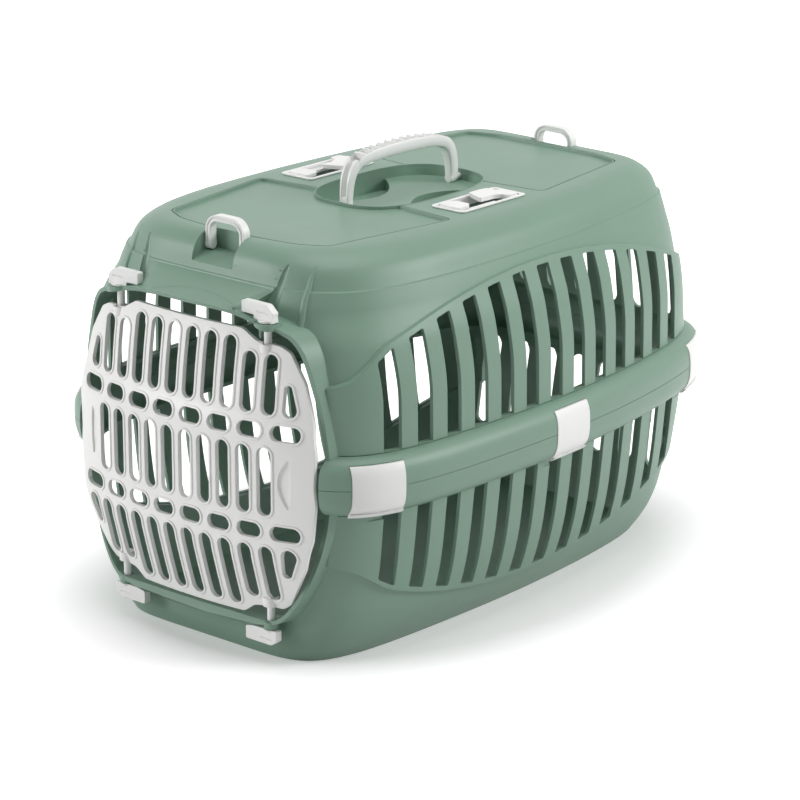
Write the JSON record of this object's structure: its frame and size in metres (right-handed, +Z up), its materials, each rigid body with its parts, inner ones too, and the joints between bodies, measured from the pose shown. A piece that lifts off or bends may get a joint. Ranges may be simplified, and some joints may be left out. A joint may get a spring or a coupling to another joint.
{
  "type": "pet carrier",
  "caption": "Plastic pet carrier: slotted tub and canopy joined by rim clips, a domed grille door on latch pins, a tilting carry handle, strap rings and seat-belt holders.",
  "frame": {"origin": "on the ground under the middle of the carrier: the middle of the bounding box in X and Y, and its lowest level in Z", "axes": "+Z up, -Y towards the door; seen from in front of the door, +X is to the right"},
  "size_m": [0.3448, 0.5048, 0.3465],
  "materials": {
    "sage_polypropylene": "fine matte texture",
    "light_grey_polypropylene": "satin"
  },
  "bodies": {
    "tub": {"bottom_tub": "sage_polypropylene"},
    "canopy": {"top_canopy": "sage_polypropylene", "belt_holder_left": "light_grey_polypropylene", "belt_holder_right": "light_grey_polypropylene"},
    "door": {"door_grille": "light_grey_polypropylene"},
    "top_left_pin": {"latch_pin_top_left": "light_grey_polypropylene"},
    "top_right_pin": {"latch_pin_top_right": "light_grey_polypropylene"},
    "bottom_left_pin": {"latch_pin_bottom_left": "light_grey_polypropylene"},
    "bottom_right_pin": {"latch_pin_bottom_right": "light_grey_polypropylene"},
    "front_left_clip": {"rim_clip_front_left": "light_grey_polypropylene"},
    "front_right_clip": {"rim_clip_front_right": "light_grey_polypropylene"},
    "middle_left_clip": {"rim_clip_middle_left": "light_grey_polypropylene"},
    "middle_right_clip": {"rim_clip_middle_right": "light_grey_polypropylene"},
    "rear_left_clip": {"rim_clip_rear_left": "light_grey_polypropylene"},
    "rear_right_clip": {"rim_clip_rear_right": "light_grey_polypropylene"},
    "handle": {"carry_handle": "light_grey_polypropylene"},
    "front_ring": {"strap_ring_front": "light_grey_polypropylene"},
    "rear_ring": {"strap_ring_rear": "light_grey_polypropylene"}
  },
  "joints": [
    {"name": "canopy_lift", "type": "slide", "parent": "tub", "child": "canopy", "axis": [0, 0, 1], "range_m": [0, 0.2]},
    {"name": "door_swing", "type": "hinge", "parent": "tub", "child": "door", "pos_m": [-0.075, -0.23056, 0.147], "axis": [0, 0, -1], "range_deg": [0, 110]},
    {"name": "top_left_pin_slide", "type": "slide", "parent": "canopy", "child": "top_left_pin", "axis": [0, 0, 1], "range_m": [0, 0.0105]},
    {"name": "top_right_pin_slide", "type": "slide", "parent": "canopy", "child": "top_right_pin", "axis": [0, 0, 1], "range_m": [0, 0.0105]},
    {"name": "bottom_left_pin_slide", "type": "slide", "parent": "tub", "child": "bottom_left_pin", "axis": [0, 0, -1], "range_m": [0, 0.0105]},
    {"name": "bottom_right_pin_slide", "type": "slide", "parent": "tub", "child": "bottom_right_pin", "axis": [0, 0, -1], "range_m": [0, 0.0105]},
    {"name": "front_left_clip_pull", "type": "slide", "parent": "canopy", "child": "front_left_clip", "axis": [-0.9521, -0.3057, 0], "range_m": [0, 0.03]},
    {"name": "front_right_clip_pull", "type": "slide", "parent": "canopy", "child": "front_right_clip", "axis": [0.9521, -0.3057, 0], "range_m": [0, 0.03]},
    {"name": "middle_left_clip_pull", "type": "slide", "parent": "canopy", "child": "middle_left_clip", "axis": [-0.9999, 0.0172, 0], "range_m": [0, 0.03]},
    {"name": "middle_right_clip_pull", "type": "slide", "parent": "canopy", "child": "middle_right_clip", "axis": [0.9999, 0.0172, 0], "range_m": [0, 0.03]},
    {"name": "rear_left_clip_pull", "type": "slide", "parent": "canopy", "child": "rear_left_clip", "axis": [-0.9243, 0.3818, 0], "range_m": [0, 0.03]},
    {"name": "rear_right_clip_pull", "type": "slide", "parent": "canopy", "child": "rear_right_clip", "axis": [0.9243, 0.3818, 0], "range_m": [0, 0.03]},
    {"name": "handle_tilt", "type": "hinge", "parent": "canopy", "child": "handle", "pos_m": [0, -0.00081, 0.3043], "axis": [0, 1, 0], "range_deg": [-55, 55]},
    {"name": "front_ring_fold", "type": "hinge", "parent": "canopy", "child": "front_ring", "pos_m": [0, -0.19306, 0.299], "axis": [1, 0, 0], "range_deg": [0, 90]},
    {"name": "rear_ring_fold", "type": "hinge", "parent": "canopy", "child": "rear_ring", "pos_m": [0, 0.19095, 0.299], "axis": [-1, 0, 0], "range_deg": [0, 90]}
  ]
}
